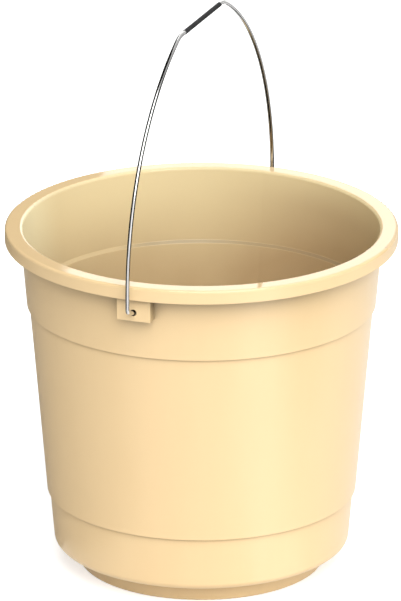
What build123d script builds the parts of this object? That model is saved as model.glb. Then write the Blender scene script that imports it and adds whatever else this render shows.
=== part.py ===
from build123d import *
import math
import os

# Driving dimensions in millimetres and degrees.
# Z is up, the foot stands on z = 0, and the line through both lugs is X.

# Bucket body: one moulding of three tapering bands, a flanged rim, two lugs and a foot ring
rim_diameter = 290.0
bucket_height = 261.2
wall = 2.2
draft_angle = 4.85
upper_edge_drop = 59.5
main_edge_drop = 204.7
shoulder_drop = 246.05
main_edge_diameter = 229.6
step_depth = 1.9
step_edge_round = 0.6
step_root_round = 0.4
ledge_rise = 1.6
ledge_height = 2.3
ledge_round = 1.0

# Rim: a flat flange with a skirt that turns down outside it
flange_thickness = 2.2
skirt_thickness = 2.2
skirt_drop = 10.5
rim_outer_round = 2.0
rim_inner_round = 2.2
rim_root_round = 1.5
skirt_outer_round = 0.7
skirt_inner_round = 0.5

# Base: a flat floor on a foot ring, with the gate's stub in the middle of the underside
floor_thickness = 2.6
floor_corner_round = 4.0
shoulder_round = 5.5
foot_diameter = 183.0
foot_thickness = 3.4
foot_draft = 1.2
foot_outer_round = 1.8
foot_inner_round = 0.5
foot_root_round = 1.5
gate_diameter = 5.0
gate_height = 0.8

# Lugs: hollow boxes under the rim, open below, each with a hole for the bail
lug_width = 26.0
lug_face_x = 140.0
lug_drop = 28.0
lug_plate = 2.0
lug_edge_round = 0.5
lug_foot_round = 0.4
lug_filler_depth = 3.4
lug_hole_drop = 21.5
lug_hole_diameter = 4.9

# Bail: one spring wire with hooked ends
wire_diameter = 3.0
wire_sag = 0.4
leg_x = 151.6
bail_rise = 159.4
arc_radius = 180.3
arc_centre_drop = 5.1
shoulder_bend = 22.0
leg_bend = 4.0
stub_slope = 17.8
hook_x = 135.6
hook_bend = 2.5
hook_tip_rise = 6.0
wire_end_round = 0.4

# Grip: a thin tube that turns on the straight top of the bail
sleeve_length = 72.0
sleeve_centre_x = 1.4
sleeve_bore = 3.08
sleeve_diameter = 3.54
sleeve_end_chamfer = 0.08

# Levels and radii that follow from the driving dimensions
slope = math.tan(math.radians(draft_angle))
rim_radius = rim_diameter / 2
upper_edge_z = bucket_height - upper_edge_drop
main_edge_z = bucket_height - main_edge_drop
shoulder_z = bucket_height - shoulder_drop
skirt_edge_z = bucket_height - skirt_drop
flange_under_z = bucket_height - flange_thickness
floor_z = shoulder_z + floor_thickness
lug_hole_z = bucket_height - lug_hole_drop
pivot_z = lug_hole_z - wire_sag
bail_top_z = bucket_height + bail_rise


def main_radius(z):
    """Outer radius of the middle band at a height."""
    return main_edge_diameter / 2 + (z - main_edge_z) * slope


def upper_radius(z):
    """Outer radius of the band under the rim, one step wider."""
    return main_radius(z) + step_depth


def lower_radius(z):
    """Outer radius of the band above the foot, one step narrower."""
    return main_radius(z) - step_depth


def foot_corners():
    """Corners of the foot ring and its shoulder, from the inside round to the wall."""
    foot_radius = foot_diameter / 2
    return [
        (foot_radius - foot_thickness, 0, foot_inner_round),
        (foot_radius, 0, foot_outer_round),
        (foot_radius + foot_draft, shoulder_z, foot_root_round),
        (lower_radius(shoulder_z), shoulder_z, shoulder_round),
    ]


def outer_wall_corners():
    """Corners of the two steps on the outside, going up."""
    return [
        (lower_radius(main_edge_z), main_edge_z, step_root_round),
        (main_radius(main_edge_z), main_edge_z, step_edge_round),
        (main_radius(upper_edge_z), upper_edge_z, step_root_round),
        (upper_radius(upper_edge_z), upper_edge_z, step_edge_round),
    ]


def rim_corners():
    """Corners of the flange and its skirt, from under the flange over to the mouth."""
    skirt_inner_radius = rim_radius - skirt_thickness
    return [
        (upper_radius(flange_under_z), flange_under_z, rim_root_round),
        (skirt_inner_radius, flange_under_z, rim_root_round),
        (skirt_inner_radius, skirt_edge_z, skirt_inner_round),
        (rim_radius, skirt_edge_z, skirt_outer_round),
        (rim_radius, bucket_height, rim_outer_round),
        (upper_radius(bucket_height) - wall, bucket_height, rim_inner_round),
    ]


def inner_wall_corners():
    """Corners of the two sloping ledges on the inside, going down."""
    corners = []
    for edge_z, above, below in (
        (upper_edge_z, upper_radius, main_radius),
        (main_edge_z, main_radius, lower_radius),
    ):
        ledge_foot_z = edge_z + ledge_rise
        ledge_top_z = ledge_foot_z + ledge_height
        corners.append((above(ledge_top_z) - wall, ledge_top_z, ledge_round))
        corners.append((below(ledge_foot_z) - wall, ledge_foot_z, ledge_round))
    return corners


def floor_corners():
    """Corners of the floor, from the wall in to the axis and back out under it."""
    gate_radius = gate_diameter / 2
    gate_z = shoulder_z - gate_height
    foot_inner_radius = foot_diameter / 2 - foot_thickness - foot_draft
    return [
        (lower_radius(floor_z) - wall, floor_z, floor_corner_round),
        (0, floor_z, 0),
        (0, gate_z, 0),
        (gate_radius, gate_z, 0),
        (gate_radius, shoulder_z, 0),
        (foot_inner_radius, shoulder_z, foot_root_round),
    ]


def make_shell():
    """Foot, wall, rim and floor in one turned solid."""
    corners = foot_corners() + outer_wall_corners() + rim_corners()
    corners += inner_wall_corners() + floor_corners()
    points = [(radius, z) for radius, z, rounding in corners]
    roundings = [rounding for radius, z, rounding in corners]
    with BuildSketch(Plane.XZ) as section:
        with BuildLine():
            FilletPolyline(points, radius=roundings, close=True)
        make_face()
    return revolve(section.sketch, Axis.Z)


def block(x_range, width, z_range):
    """A box that is centred on y = 0 and reaches between two x and two z values."""
    length = x_range[1] - x_range[0]
    height = z_range[1] - z_range[0]
    centre = Pos((x_range[0] + x_range[1]) / 2, 0, (z_range[0] + z_range[1]) / 2)
    return centre * Box(length, width, height)


def make_lug():
    """The lug on the +X side, reaching half way into the wall and the flange."""
    lug_foot_z = bucket_height - lug_drop
    root_x = upper_radius(lug_foot_z) - wall - lug_plate
    top_z = bucket_height - flange_thickness / 2
    cavity_x = lug_face_x - lug_plate
    cavity_width = lug_width - 2 * lug_plate

    box = block((root_x, lug_face_x), lug_width, (lug_foot_z, top_z))
    face = box.faces().sort_by(Axis.X)[-1]
    box = fillet(face.edges().filter_by(Axis.Z), lug_edge_round)
    face = box.faces().sort_by(Axis.X)[-1]
    box = fillet(face.edges().sort_by(Axis.Z)[0], lug_foot_round)

    filler_x = (cavity_x, lug_face_x + lug_filler_depth)
    box += block(filler_x, lug_width, (skirt_edge_z + skirt_outer_round, top_z))
    box -= block((root_x, cavity_x), cavity_width, (lug_foot_z, top_z))

    wall_middle_bottom = upper_radius(lug_foot_z) - wall / 2
    wall_middle_top = upper_radius(top_z) - wall / 2
    inside = Cone(wall_middle_bottom, wall_middle_top, top_z - lug_foot_z)
    box -= Pos(0, 0, (lug_foot_z + top_z) / 2) * inside

    hole = Cylinder(lug_hole_diameter / 2, 3 * lug_plate, rotation=(0, 90, 0))
    return box - Pos(lug_face_x - lug_plate / 2, 0, lug_hole_z) * hole


def make_bucket_body():
    """The whole moulding: the turned shell with a lug on each side."""
    lug = make_lug()
    return make_shell() + lug + mirror(lug, Plane.YZ)


def make_bail_path():
    """Centre line of the wire in the XZ plane, from one hooked end to the other."""
    hole_x = lug_face_x - lug_plate / 2
    dip = math.tan(math.radians(stub_slope))
    arc_centre = (leg_x - arc_radius, bucket_height - arc_centre_drop)

    # The shoulder bend touches both the large arc and the straight top
    bend_centre_z = bail_top_z - shoulder_bend
    bend_rise = bend_centre_z - arc_centre[1]
    bend_reach = math.sqrt((arc_radius - shoulder_bend) ** 2 - bend_rise**2)
    bend_centre = (arc_centre[0] + bend_reach, bend_centre_z)
    meeting_angle = math.degrees(math.atan2(bend_rise, bend_reach))

    end_points = [
        (hook_x, pivot_z + hook_tip_rise),
        (hook_x, pivot_z - (hole_x - hook_x) * dip),
        (leg_x, pivot_z + (leg_x - hole_x) * dip),
        (leg_x, arc_centre[1]),
    ]
    with BuildLine(Plane.XZ) as path:
        FilletPolyline(end_points, radius=[hook_bend, leg_bend])
        CenterArc(arc_centre, arc_radius, 0, meeting_angle)
        CenterArc(bend_centre, shoulder_bend, meeting_angle, 90 - meeting_angle)
        mirror(about=Plane.YZ)
        Line((bend_centre[0], bail_top_z), (-bend_centre[0], bail_top_z))
    return path.wires()[0]


def make_wire_bail():
    """The bail, standing upright with its hooked ends in the lug holes."""
    path = make_bail_path()
    section = Plane(origin=path @ 0, z_dir=path % 0) * Circle(wire_diameter / 2)
    bail = sweep(section, path=path)
    ends = bail.faces().filter_by(GeomType.PLANE).edges()
    return fillet(ends, wire_end_round)


def make_grip_sleeve():
    """The thin tube round the straight top of the bail."""
    tube = Cylinder(sleeve_diameter / 2, sleeve_length)
    rims = tube.edges().filter_by(GeomType.CIRCLE)
    tube = chamfer(rims, sleeve_end_chamfer)
    tube -= Cylinder(sleeve_bore / 2, sleeve_length)
    return Pos(sleeve_centre_x, 0, bail_top_z) * Rot(0, 90, 0) * tube


os.makedirs("parts", exist_ok=True)
export_step(make_bucket_body(), "parts/bucket_body.step")
export_step(make_wire_bail(), "parts/wire_bail.step")
export_step(make_grip_sleeve(), "parts/grip_sleeve.step")
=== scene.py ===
"""Looks of a plastic bucket: its moulded, plated and rubbed finishes, and a small studio round it."""

import math

import bmesh
import bpy
from bpy.props import FloatProperty, FloatVectorProperty, PointerProperty
from bpy.types import Operator, Panel, PropertyGroup
from mathutils import Matrix, Vector


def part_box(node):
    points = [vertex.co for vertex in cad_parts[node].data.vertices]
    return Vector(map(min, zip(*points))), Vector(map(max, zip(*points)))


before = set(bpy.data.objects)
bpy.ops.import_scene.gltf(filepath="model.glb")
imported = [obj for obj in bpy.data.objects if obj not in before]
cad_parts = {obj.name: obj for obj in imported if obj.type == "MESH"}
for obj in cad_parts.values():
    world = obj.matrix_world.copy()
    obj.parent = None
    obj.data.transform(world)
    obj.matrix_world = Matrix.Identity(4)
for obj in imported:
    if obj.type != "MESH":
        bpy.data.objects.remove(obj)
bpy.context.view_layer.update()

bl_info = {
    "name": "Plastic Bucket",
    "version": (1, 0, 0),
    "blender": (4, 5, 0),
    "location": "3D View > Sidebar > Bucket",
    "description": "Finishes a moulded bucket, its wire bail and its grip, and lights them",
    "category": "Object",
}

RIM_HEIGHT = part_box("bucket_body")[1].z

# Where each mark on the plastic begins and where it is complete. Heights and depths are in metres.
# A turn is 1 where the surface faces the axis or the sky, and a side is 1 at the middle of the side with the
# most painted shade inside and -1 opposite it.
RUB_PATCHES = (0.45, 0.7)
INWARD_TURN = (0.2, 0.7)
SHADED_SIDE = (-0.05, 0.85)
SHADED_DEPTH = (-0.005, 0.025)
PAINTED_LIGHT_SIDE = (-1.0, -0.8)
ENCLOSED_SHARE = (-0.03, 0.9)
FOOT_RELIEF_HEIGHT = (0.008, 0.018)
LEDGE_TURN = (0.58, 0.66)
LEDGE_DEPTH = (0.01, 0.02)
LIT_LEDGE_SIDE = (-0.55, -0.3)
FLAT_TURN = (0.8, 0.95)
POLISH_MARGIN = 0.0002

# How patterns are mixed in the plastic, and what rubbing adds to its roughness
STREAK_SHARE = 0.65
# Least share of the painted shade inside, and how much the clouds vary it
SHADE_LEAST = 0.75
SHADE_CLOUDS = 0.5
RUBBED_ROUGHNESS = 0.25
CREVICE_SAMPLES = 16

# The same for the wire and the tube
LINE_SHARE = 0.6
DUST_PATCHES = (0.5, 0.75)
TUBE_LINE_ROUGHNESS = 0.15
TUBE_DUST_ROUGHNESS = 0.1

# Floor and lamps of the studio, in metres
FLOOR_RADIUS = 40.0
FLOOR_CORNERS = 96
LAMP_DISTANCE = 3.0

# Soft lamps round the bucket, in degrees: bearing to the right of the camera, height and width
LAMPS = {
    "key_light": (14.0, 47.0, 50.0),
    "low_light": (20.0, 8.0, 40.0),
    "left_light": (-90.0, 20.0, 50.0),
    "right_light": (85.0, 10.0, 30.0),
    "back_light": (180.0, 62.0, 40.0),
}

# Brightness of the cards round the bucket, where 1 is white
DARK = 0.02
DIM = 0.24
GREY = 0.5
BRIGHT = 1.9
GLARING = 2.3

# The cards' places are in metres as the camera sees them: to the right of the bucket's axis, beyond it and up
SHEET_HEIGHT = 0.001
BRIGHT_SHEET_HEIGHT = 0.002
CEILING_HEIGHT = 2.0
MOUTH_CARD_HEIGHT = 0.268
RIM_CARD_HEIGHT = 0.255

# Cards that lie level: brightness, height, and corners to the right and beyond
LEVEL_CARDS = {
    "left_sheet": (DARK, SHEET_HEIGHT, ((-1.74, -1.8), (-0.45, -0.75), (-0.79, 0.0), (-1.74, 0.0))),
    "far_left_sheet": (DARK, SHEET_HEIGHT, ((-1.74, 0.0), (-0.79, 0.0), (-0.6, 0.46), (-1.27, 1.13))),
    "far_sheet": (DARK, SHEET_HEIGHT, ((-1.27, 1.13), (-0.6, 0.46), (-0.14, 0.65), (-0.14, 1.6))),
    "near_left_sheet": (DIM, SHEET_HEIGHT, ((-0.65, -0.5), (-0.14, -0.2), (-0.14, 0.0), (-0.79, 0.0))),
    "side_sheet": (DIM, SHEET_HEIGHT, ((-0.79, 0.0), (-0.1, 0.0), (-0.05, 0.65), (-0.6, 0.46))),
    "right_sheet": (GREY, SHEET_HEIGHT, ((0.7, 0.56), (0.94, 0.0), (1.9, 0.0), (1.4, 1.3))),
    "far_right_sheet": (GREY, SHEET_HEIGHT, ((0.0, 0.8), (0.7, 0.56), (1.4, 1.3), (0.0, 1.9))),
    "bright_sheet": (
        BRIGHT, BRIGHT_SHEET_HEIGHT,
        ((0.05, -0.1), (0.115, -0.075), (0.8, -0.75), (0.45, -1.0)),
    ),
    "high_card": (
        DARK, CEILING_HEIGHT,
        ((-1.6, -0.42), (0.8, -0.42), (0.8, -0.05), (0.1, 0.15), (0.0, 0.45), (-1.6, 0.45)),
    ),
    "mouth_card": (
        DARK, MOUTH_CARD_HEIGHT,
        (
            (0.112, 0.022), (0.079, 0.101), (0.0, 0.134), (-0.079, 0.101),
            (-0.112, 0.022), (-0.079, -0.057), (0.0, -0.09), (0.079, -0.057),
        ),
    ),
    "rim_card": (DARK, RIM_CARD_HEIGHT, ((0.144, 0.07), (0.175, 0.0855), (0.047, 0.189), (0.039, 0.155))),
    "beyond_card": (GREY, RIM_CARD_HEIGHT, ((0.175, 0.0855), (0.25, 0.12), (0.065, 0.26), (0.047, 0.189))),
}

# Cards that stand beside the bucket: brightness, both ends to the right and beyond, and foot and top heights
SIDE_CARDS = {
    "left_card": (DARK, ((-0.3, -0.5), (-0.2, 0.7)), (0.22, 1.6)),
    "right_card": (DARK, ((0.33, -0.4), (0.385, -0.1)), (0.0, 0.72)),
    "far_right_card": (DARK, ((0.385, -0.1), (0.4, 0.35)), (0.17, 0.4)),
    "high_right_card": (DARK, ((0.385, -0.1), (0.39, 0.06)), (0.4, 0.58)),
}

# Cards that stand behind the bucket: brightness, distance beyond it, and corners to the right and up
BACK_CARDS = {
    "back_card": (DARK, 1.45, ((-1.6, 0.48), (0.0, 0.48), (-0.43, 1.6), (-1.6, 1.6))),
    "back_sheet": (GLARING, 1.46, ((0.0, 0.48), (0.4, 0.48), (0.4, 1.6), (-0.43, 1.6))),
}


class Socket:
    """An output socket that takes part in sums, so that 1 - mask adds a Math node."""

    def __init__(self, tree, socket):
        self.tree = tree
        self.socket = socket

    def out(self, name):
        """Another output of the same node."""
        return Socket(self.tree, self.socket.node.outputs[name])

    def maths(self, operation, first, second, clamp=False):
        """A Math node with two inputs."""
        settings = {"operation": operation, "use_clamp": clamp}
        return self.tree.node("ShaderNodeMath", settings, {0: first, 1: second})

    def __add__(self, other):
        return self.maths("ADD", self, other)

    def __sub__(self, other):
        return self.maths("SUBTRACT", self, other)

    def __rsub__(self, other):
        return self.maths("SUBTRACT", other, self)

    def __mul__(self, other):
        return self.maths("MULTIPLY", self, other)

    __radd__ = __add__
    __rmul__ = __mul__


class Shader:
    """The node tree of one material or of the world, and the one way to add a node to it."""

    def __init__(self, owner):
        owner.use_nodes = True
        self.owner = owner
        self.tree = owner.node_tree
        self.tree.nodes.clear()

    def node(self, kind, settings=None, inputs=None, output=0):
        """Adds a node, sets it up, then fills or links its sockets."""
        made = self.tree.nodes.new(kind)
        for name, value in (settings or {}).items():
            setattr(made, name, value)
        for name, value in (inputs or {}).items():
            if isinstance(value, Socket):
                self.tree.links.new(value.socket, made.inputs[name])
            else:
                made.inputs[name].default_value = value
        return Socket(self, made.outputs[output]) if made.outputs else made

    def mix(self, factor, first, second):
        """A colour between two colours."""
        inputs = {0: factor, 6: first, 7: second}
        return self.node("ShaderNodeMix", {"data_type": "RGBA"}, inputs, output=2)

    def noise(self, place, scale, detail=2.0, roughness=0.5):
        """Smooth noise from 0 to 1 with features of about 1 / scale metres."""
        inputs = {"Vector": place, "Scale": scale, "Detail": detail, "Roughness": roughness}
        return self.node("ShaderNodeTexNoise", None, inputs)

    def steps(self, value, low, high):
        """0 below low, 1 above high and a smooth rise between them."""
        settings = {"interpolation_type": "SMOOTHSTEP"}
        inputs = {"Value": value, "From Min": low, "From Max": high}
        return self.node("ShaderNodeMapRange", settings, inputs)

    def stretched(self, place, factors):
        """Object coordinates, multiplied axis by axis."""
        settings = {"operation": "MULTIPLY"}
        return self.node("ShaderNodeVectorMath", settings, {0: place, 1: factors})

    def along(self, vector, direction):
        """How far a vector reaches in a direction."""
        settings = {"operation": "DOT_PRODUCT"}
        return self.node("ShaderNodeVectorMath", settings, {0: vector, 1: direction}).out("Value")

    def upward(self, vector):
        """How far a vector reaches up."""
        return self.node("ShaderNodeSeparateXYZ", None, {0: vector}).out("Z")

    def bump(self, height, distance):
        """Normals of a surface that rises by height times distance, in metres."""
        return self.node("ShaderNodeBump", None, {"Height": height, "Distance": distance})


def new_finish(name):
    """An empty material and the shader that fills it."""
    return Shader(bpy.data.materials.new(name))


def show_surface(shader, surface, output="ShaderNodeOutputMaterial"):
    """Links a finished surface to the material's or world's output."""
    shader.node(output, None, {"Surface": surface})
    return shader.owner


def moulded_plastic(look):
    """Cream polypropylene: flow streaks, faint clouds and soft gloss, with painted light and shade inside and
    painted shade in the crevices and on the ledges.
    """
    shader = new_finish("moulded_plastic")
    coordinates = shader.node("ShaderNodeTexCoord")
    place = coordinates.out("Object")
    normal = coordinates.out("Normal")
    level = shader.upward(place)
    below_rim = RIM_HEIGHT - level

    # The melt enters at the middle of the floor and runs out and up, so streaks keep their bearing
    outward = shader.stretched(place, (1.0, 1.0, 0.0))
    bearing = shader.node("ShaderNodeVectorMath", {"operation": "NORMALIZE"}, {0: outward})
    climb = shader.stretched(place, (0.0, 0.0, look.streak_climb))
    route = shader.node("ShaderNodeVectorMath", {"operation": "ADD"}, {0: bearing, 1: climb})
    streaks = shader.noise(route, look.streak_count, detail=3.0)
    clouds = shader.noise(place, 1.0 / look.cloud_size, detail=3.0)
    flow = STREAK_SHARE * streaks + (1.0 - STREAK_SHARE) * clouds
    colour = shader.mix(flow, look.cream, look.deep_cream)

    # The foot is rubbed by the ground that it stands on
    rub_noise = shader.noise(place, 1.0 / look.rub_size, detail=5.0, roughness=0.65)
    near_ground = 1 - shader.steps(level, 0.0, look.rub_height)
    rubbed = near_ground * shader.steps(rub_noise, *RUB_PATCHES)
    colour = shader.mix(look.rub_strength * rubbed, colour, look.dust)

    # The inside gets a tint that offsets the warm colour of light bounced between its walls, painted light on
    # its lit side, and painted shade that deepens toward the floor and toward one side
    inward = shader.steps(-1.0 * shader.along(normal, bearing), *INWARD_TURN)
    shaded_way = (math.cos(look.shaded_side_bearing), math.sin(look.shaded_side_bearing), 0.0)
    side = shader.along(bearing, shaded_way)
    # Painted light on the inside's lit side, opposite the side with the most painted shade
    painted_light_mask = 1 - shader.steps(side, *PAINTED_LIGHT_SIDE)
    # Painted shade inside, deeper toward the floor and toward the shaded side
    deep = shader.steps(below_rim, look.inside_shade_start, look.inside_shade_end)
    side_shading = shader.steps(side, *SHADED_SIDE) * shader.steps(below_rim, *SHADED_DEPTH)
    inside_shading = look.inside_shade_strength * deep * (SHADE_LEAST + SHADE_CLOUDS * clouds) + look.side_shade * side_shading
    # A paler, less orange tint on the inner walls that offsets the warm colour of light bounced between them
    colour = shader.mix(inward, colour, look.inside_painted_tint)
    colour = shader.mix(look.painted_light_strength * inward * painted_light_mask, colour, look.painted_light_colour)
    colour = shader.mix(inward * inside_shading, colour, look.inside_shade_colour)

    # Painted shade where the moulding is enclosed: behind and beside the lugs and under the rim, lighter on
    # the foot near the ground
    settings = {"samples": CREVICE_SAMPLES, "only_local": True}
    inputs = {"Distance": look.crevice_reach}
    enclosed = 1 - shader.node("ShaderNodeAmbientOcclusion", settings, inputs).out("AO")
    foot_relief = look.foot_shade_relief * (1 - shader.steps(level, *FOOT_RELIEF_HEIGHT))
    crevice_shading = look.crevice_shade * shader.steps(enclosed, *ENCLOSED_SHARE) * (1 - foot_relief)
    colour = shader.mix(crevice_shading, colour, look.painted_shade_colour)

    # Painted shade on the upward faces inside, the floor and the ledges, but not on the sloped ledges of the
    # lit side
    lift = shader.upward(normal)
    upward_inside = shader.steps(lift, *LEDGE_TURN) * shader.steps(below_rim, *LEDGE_DEPTH)
    lit_ledge = (1 - shader.steps(side, *LIT_LEDGE_SIDE)) * (1 - shader.steps(lift, *FLAT_TURN))
    colour = shader.mix(look.ledge_shade * upward_inside * (1 - lit_ledge), colour, look.painted_shade_colour)

    # The rim's top is polished, the rest has patches of duller gloss, and the rubbed marks are dull
    haze = shader.noise(place, 1.0 / look.haze_size, detail=4.0)
    polished = shader.steps(level, RIM_HEIGHT - look.polish_drop, RIM_HEIGHT - POLISH_MARGIN)
    gloss = look.roughness - (look.roughness - look.rim_roughness) * polished
    roughness = gloss + look.roughness_spread * (haze - 0.5) + RUBBED_ROUGHNESS * rubbed
    skin = shader.noise(place, 1.0 / look.skin_size, detail=1.0)
    surface = shader.node("ShaderNodeBsdfPrincipled", None, {
        "Base Color": colour,
        "Roughness": roughness,
        "Normal": shader.bump(skin, look.skin_depth),
        "IOR": look.ior,
    })
    return show_surface(shader, surface)


def plated_wire(look):
    """Bright plated steel with the fine lines that drawing leaves along the wire."""
    shader = new_finish("plated_wire")
    place = shader.node("ShaderNodeTexCoord").out("Object")

    # The bail lies in the XZ plane, so lines of one y run along the wire
    across = shader.stretched(place, (1.0, look.line_stretch, 1.0))
    lines = shader.noise(across, 1.0 / look.line_length, detail=3.0)
    patches = shader.noise(place, 1.0 / look.patch_size, detail=3.0)
    wear = LINE_SHARE * lines + (1.0 - LINE_SHARE) * patches
    surface = shader.node("ShaderNodeBsdfPrincipled", None, {
        "Base Color": shader.mix(patches, look.bright, look.dull),
        "Metallic": 1.0,
        "Roughness": look.roughness + look.roughness_spread * wear,
        "Normal": shader.bump(lines, look.line_depth),
    })
    return show_surface(shader, surface)


def black_tube(look):
    """Extruded black plastic with faint lengthwise lines and a little dust."""
    shader = new_finish("black_tube")
    place = shader.node("ShaderNodeTexCoord").out("Object")
    along = shader.stretched(place, (look.line_stretch, 1.0, 1.0))
    lines = shader.noise(along, 1.0 / look.line_width, detail=2.0)
    dust = shader.steps(shader.noise(place, 1.0 / look.dust_size, detail=5.0), *DUST_PATCHES)
    surface = shader.node("ShaderNodeBsdfPrincipled", None, {
        "Base Color": shader.mix(look.dust_amount * dust, look.black, look.grey),
        "Roughness": look.roughness + TUBE_LINE_ROUGHNESS * lines + TUBE_DUST_ROUGHNESS * dust,
        "Normal": shader.bump(lines, look.line_depth),
        "Specular IOR Level": look.sheen,
    })
    return show_surface(shader, surface)


def dress(node, material):
    """Gives a CAD node its finish in place of the plain one."""
    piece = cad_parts[node]
    piece.data.materials.clear()
    piece.data.materials.append(material)


def length(title, note, default):
    """A property in metres."""
    return FloatProperty(name=title, description=note, default=default, min=0.0, unit="LENGTH", precision=5)


def number(title, note, default):
    """A plain number."""
    return FloatProperty(name=title, description=note, default=default, min=0.0)


def share(title, note, default):
    """A number from 0 to 1."""
    return FloatProperty(name=title, description=note, default=default, min=0.0, max=1.0, subtype="FACTOR")


def colour_of(title, note, default):
    """A linear colour with its alpha."""
    return FloatVectorProperty(
        name=title, description=note, default=(*default, 1.0), size=4, min=0.0, max=1.0, subtype="COLOR"
    )


def angle(title, note, degrees):
    """An angle, written in degrees."""
    return FloatProperty(name=title, description=note, default=math.radians(degrees), subtype="ANGLE")


class BucketPlasticLook(PropertyGroup):
    """Finish of the moulded body."""

    cream: colour_of("Cream", "Main colour of the plastic", (0.868, 0.642, 0.354))
    deep_cream: colour_of("Deep Cream", "Colour of the flow streaks and clouds", (0.843, 0.614, 0.331))
    roughness: share("Roughness", "Roughness of the clean plastic", 0.3)
    rim_roughness: share("Rim Roughness", "Roughness of the rim's top, which hands and lids polish", 0.05)
    polish_drop: length("Polish Drop", "How far below the rim's top the polish ends", 0.002)
    roughness_spread: share("Roughness Spread", "How far the haze changes the roughness", 0.08)
    ior: number("IOR", "Index of refraction of polypropylene", 1.49)
    streak_count: number("Streaks", "Flow streaks in a radian round the bucket", 9.0)
    streak_climb: number("Streak Climb", "How fast the streaks change up the wall, per metre", 1.6)
    cloud_size: length("Cloud Size", "Size of the cloudy patches", 0.045)
    haze_size: length("Haze Size", "Size of the patches of duller gloss", 0.018)
    skin_size: length("Skin Size", "Spacing of the waves in the moulded skin", 0.014)
    skin_depth: length("Skin Depth", "Depth of the waves in the moulded skin", 0.00006)
    # Tint of the inner walls that offsets the warm colour of light bounced between them
    inside_painted_tint: colour_of("Faded", "Colour of the plastic inside", (0.835, 0.685, 0.392))
    # Painted light on the inside's lit side: its colour and strength
    painted_light_colour: colour_of("Bleached", "Colour of the inside where the sun reaches it most", (1.0, 0.9, 0.58))
    painted_light_strength: share("Bleach Strength", "How far the sun has bleached it there", 0.95)
    # Painted shade inside: its colour, the side where it is deepest, and how it deepens
    inside_shade_colour: colour_of("Stain", "Colour of the dulled inside", (0.53, 0.375, 0.2))
    shaded_side_bearing: angle("Stain Side", "Bearing of the side that is dulled more, from +X toward +Y", -69.4)
    side_shade: share("Stain Lean", "How much more that side is dulled", 0.62)
    inside_shade_start: length("Stain Start", "Depth below the rim at which the inside begins to dull", 0.005)
    inside_shade_end: length("Stain End", "Depth below the rim at which it is dullest", 0.095)
    inside_shade_strength: share("Stain Strength", "How dull the inside becomes", 0.85)
    # Painted shade in the crevices and on the upward faces inside: its colour, how dark, how far it reaches,
    # and how much the foot loses near the ground
    painted_shade_colour: colour_of("Soil", "Colour of the soil on ledges and in crevices", (0.05, 0.032, 0.016))
    crevice_shade: share("Crevice Soil", "How much soil hides the plastic in the deepest crevices", 0.95)
    crevice_reach: length("Crevice Reach", "How near another wall is for a place to be a crevice", 0.06)
    foot_shade_relief: share("Foot Wash", "How much of that soil wet ground washes off the foot", 0.45)
    # How dark the painted shade on the ledges and the floor inside is
    ledge_shade: share("Ledge Dirt", "How much dirt lies on the ledges and the floor inside", 0.3)
    dust: colour_of("Dust", "Colour rubbed into the foot", (0.3, 0.25, 0.18))
    rub_size: length("Rub Size", "Size of the marks on the foot", 0.005)
    rub_height: length("Rub Height", "How far up the foot is marked", 0.006)
    rub_strength: share("Rub Strength", "How dark the marks on the foot are", 0.12)


class BailWireLook(PropertyGroup):
    """Finish of the wire bail."""

    bright: colour_of("Bright", "Colour of the clean plating", (0.64, 0.635, 0.625))
    dull: colour_of("Dull", "Colour of the duller patches", (0.52, 0.515, 0.505))
    roughness: share("Roughness", "Roughness of the brightest plating", 0.06)
    roughness_spread: share("Roughness Spread", "Roughness that lines and patches add", 0.06)
    line_length: length("Line Length", "Length of the drawing lines", 0.012)
    line_stretch: number("Line Stretch", "How much longer than wide the lines are", 45.0)
    line_depth: length("Line Depth", "Depth of the drawing lines", 0.000004)
    patch_size: length("Patch Size", "Size of the duller patches", 0.016)


class GripTubeLook(PropertyGroup):
    """Finish of the grip tube."""

    black: colour_of("Black", "Colour of the tube", (0.014, 0.014, 0.015))
    grey: colour_of("Grey", "Colour of the dust on it", (0.1, 0.098, 0.094))
    roughness: share("Roughness", "Roughness between the lines", 0.55)
    sheen: share("Sheen", "Strength of the tube's reflection", 0.2)
    line_width: length("Line Width", "Spacing of the lengthwise lines", 0.0004)
    line_stretch: share("Line Stretch", "Width of a line as a share of its length", 0.02)
    line_depth: length("Line Depth", "Depth of the lengthwise lines", 0.00001)
    dust_size: length("Dust Size", "Size of the dusty patches", 0.004)
    dust_amount: share("Dust Amount", "How much the dust covers", 0.3)


class StudioSettings(PropertyGroup):
    """Camera and lights."""

    azimuth: angle("Azimuth", "Bearing of the camera; 0 looks along +Y", -69.4)
    elevation: angle("Elevation", "Height of the camera above the horizon", 19.737)
    distance: length("Distance", "From the camera to the point that it aims at", 5.8433)
    aim_height: length("Aim Height", "Height of the point that the camera aims at", 0.20216)
    aim_left: length("Aim Left", "How far left of the bucket's axis it aims", 0.00072)
    lens: number("Lens", "Focal length in millimetres on a 36 mm long side", 473.45)
    ambient: share("Ambient", "Level of the light from all round", 0.33)
    floor_paint: colour_of("Floor Paint", "Colour of the floor", (0.75, 0.75, 0.75))
    floor_glow: share("Floor Glow", "What the camera sees the floor give off by itself", 0.6)
    floor_shine: share("Floor Shine", "What the gloss sees the floor give off by itself", 0.4)
    key_light: number("Key Light", "Level of the large light above the camera", 2.8)
    low_light: number("Low Light", "Level of the light under it", 0.5)
    left_light: number("Left Light", "Level of the light on the left", 0.22)
    right_light: number("Right Light", "Level of the light on the right", 0.6)
    back_light: number("Back Light", "Level of the light behind the bucket", 0.5)


def from_camera(studio, bearing, height, distance):
    """A point round the bucket, by its bearing to the right of the camera and its height."""
    turn = studio.azimuth + bearing
    flat = math.cos(height)
    return distance * Vector((math.sin(turn) * flat, -math.cos(turn) * flat, math.sin(height)))


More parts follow.
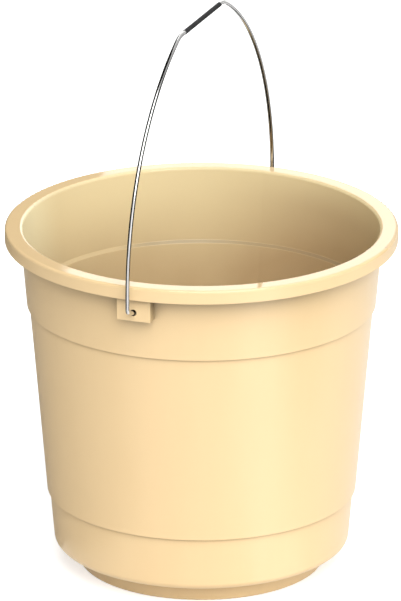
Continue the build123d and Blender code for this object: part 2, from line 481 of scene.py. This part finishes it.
def in_view(studio, right, away, up):
    """A point by how far it is to the right of the bucket's axis, beyond it and above the floor."""
    turn = studio.azimuth
    across = Vector((math.cos(turn), math.sin(turn), 0.0))
    beyond = Vector((-math.sin(turn), math.cos(turn), 0.0))
    return right * across + away * beyond + Vector((0.0, 0.0, up))


def link(name, data):
    """A new object in the scene."""
    made = bpy.data.objects.new(name, data)
    bpy.context.scene.collection.objects.link(made)
    return made


def link_sheet(name, shape, material):
    """A new object from a flat shape, which is used up."""
    mesh = bpy.data.meshes.new(name)
    shape.to_mesh(mesh)
    shape.free()
    mesh.materials.append(material)
    return link(name, mesh)


def aim(thing, place, target):
    """Puts a camera or a lamp at a place and turns its -Z axis to a target."""
    turn = (target - place).to_track_quat("-Z", "Y").to_matrix().to_4x4()
    thing.matrix_world = Matrix.Translation(place) @ turn


def make_floor(studio):
    """A wide pale floor at the bucket's foot that shows white, keeps its shadow and is clear from below."""
    shader = new_finish("pale_floor")
    rays = shader.node("ShaderNodeLightPath")
    shown = studio.floor_glow * rays.out("Is Camera Ray") + studio.floor_shine * rays.out("Is Glossy Ray")
    paint = shader.node("ShaderNodeBsdfDiffuse", None, {"Color": studio.floor_paint})
    glow = shader.node("ShaderNodeEmission", None, {"Strength": shown})
    lit = shader.node("ShaderNodeAddShader", None, {0: paint, 1: glow})
    clear = shader.node("ShaderNodeBsdfTransparent")
    below = shader.node("ShaderNodeNewGeometry").out("Backfacing")
    surface = shader.node("ShaderNodeMixShader", None, {0: below, 1: lit, 2: clear})

    shape = bmesh.new()
    bmesh.ops.create_circle(shape, cap_ends=True, segments=FLOOR_CORNERS, radius=FLOOR_RADIUS)
    floor = link_sheet("floor", shape, show_surface(shader, surface))


def light_air(studio):
    """White air that the camera and the plating see, at a lower level as a light."""
    world = bpy.data.worlds.new("studio_air")
    bpy.context.scene.world = world
    shader = Shader(world)
    rays = shader.node("ShaderNodeLightPath")
    shown = rays.out("Is Camera Ray") + rays.out("Is Glossy Ray")
    shown = shown.maths("ADD", shown, rays.out("Is Transmission Ray"), clamp=True)
    strength = studio.ambient + (1.0 - studio.ambient) * shown
    air = shader.node("ShaderNodeBackground", None, {"Strength": strength})
    show_surface(shader, air, "ShaderNodeOutputWorld")


def make_lamps(studio):
    """Large soft lamps, which light all of the bucket at one level."""
    for name, (bearing, height, spread) in LAMPS.items():
        lamp = bpy.data.lights.new(name, "SUN")
        lamp.energy = getattr(studio, name)
        lamp.angle = math.radians(spread)
        place = from_camera(studio, math.radians(bearing), math.radians(height), LAMP_DISTANCE)
        aim(link(name, lamp), place, Vector())


def card_corners():
    """Each card's brightness and its corners to the right, beyond and up."""
    cards = {}
    for name, (brightness, up, outline) in LEVEL_CARDS.items():
        cards[name] = brightness, [(right, away, up) for right, away in outline]
    for name, (brightness, (start, end), (foot, top)) in SIDE_CARDS.items():
        cards[name] = brightness, [(*start, foot), (*end, foot), (*end, top), (*start, top)]
    for name, (brightness, away, outline) in BACK_CARDS.items():
        cards[name] = brightness, [(right, away, up) for right, up in outline]
    return cards


def make_cards(studio):
    """Cards round the bucket that only its gloss and its plating see."""
    for name, (brightness, corners) in card_corners().items():
        shader = new_finish(name)
        glow = shader.node("ShaderNodeEmission", None, {"Strength": brightness})
        shape = bmesh.new()
        points = [shape.verts.new(in_view(studio, *corner)) for corner in corners]
        bmesh.ops.contextual_create(shape, geom=points)
        card = link_sheet(name, shape, show_surface(shader, glow))
        card.visible_camera = False
        card.visible_diffuse = False
        card.visible_shadow = False


def make_camera(studio):
    """The camera at the photograph's place."""
    data = bpy.data.cameras.new("camera")
    data.lens = studio.lens
    camera = link("camera", data)
    target = in_view(studio, -studio.aim_left, 0.0, studio.aim_height)
    place = target + from_camera(studio, 0.0, studio.elevation, studio.distance)
    aim(camera, place, target)
    bpy.context.scene.camera = camera


class BUCKET_OT_finish_body(Operator):
    """Give the moulded body its cream plastic"""

    bl_idname = "bucket.finish_body"
    bl_label = "Finish Body"

    def execute(self, context):
        dress("bucket_body", moulded_plastic(context.scene.bucket_plastic_look))
        return {"FINISHED"}


class BUCKET_OT_finish_bail(Operator):
    """Give the wire bail its plating"""

    bl_idname = "bucket.finish_bail"
    bl_label = "Finish Bail"

    def execute(self, context):
        dress("wire_bail", plated_wire(context.scene.bail_wire_look))
        return {"FINISHED"}


class BUCKET_OT_finish_grip(Operator):
    """Give the grip its black plastic"""

    bl_idname = "bucket.finish_grip"
    bl_label = "Finish Grip"

    def execute(self, context):
        dress("grip_sleeve", black_tube(context.scene.grip_tube_look))
        return {"FINISHED"}


class BUCKET_OT_set_stage(Operator):
    """Lay the floor, set the lights and place the camera"""

    bl_idname = "bucket.set_stage"
    bl_label = "Set Stage"

    def execute(self, context):
        studio = context.scene.bucket_studio
        context.scene.view_settings.view_transform = "Standard"
        make_floor(studio)
        light_air(studio)
        make_lamps(studio)
        make_cards(studio)
        make_camera(studio)
        return {"FINISHED"}


class BUCKET_PT_sidebar(Panel):
    """Lists the steps in the order in which they run"""

    bl_idname = "BUCKET_PT_sidebar"
    bl_label = "Plastic Bucket"
    bl_space_type = "VIEW_3D"
    bl_region_type = "UI"
    bl_category = "Bucket"

    def draw(self, context):
        for step in OPERATORS:
            self.layout.operator(step.bl_idname)


PROPERTY_GROUPS = {
    "bucket_plastic_look": BucketPlasticLook,
    "bail_wire_look": BailWireLook,
    "grip_tube_look": GripTubeLook,
    "bucket_studio": StudioSettings,
}
OPERATORS = (BUCKET_OT_finish_body, BUCKET_OT_finish_bail, BUCKET_OT_finish_grip, BUCKET_OT_set_stage)


def register():
    """Registers the settings, the operators and the panel."""
    for name, group in PROPERTY_GROUPS.items():
        bpy.utils.register_class(group)
        setattr(bpy.types.Scene, name, PointerProperty(type=group))
    for item in (*OPERATORS, BUCKET_PT_sidebar):
        bpy.utils.register_class(item)


def unregister():
    """Takes everything out again, in the opposite order."""
    for item in reversed((*OPERATORS, BUCKET_PT_sidebar)):
        bpy.utils.unregister_class(item)
    for name, group in reversed(PROPERTY_GROUPS.items()):
        delattr(bpy.types.Scene, name)
        bpy.utils.unregister_class(group)


def main():
    """Runs every step."""
    register()
    bpy.ops.bucket.finish_body()
    bpy.ops.bucket.finish_bail()
    bpy.ops.bucket.finish_grip()
    bpy.ops.bucket.set_stage()


if __name__ == "__main__":
    main()
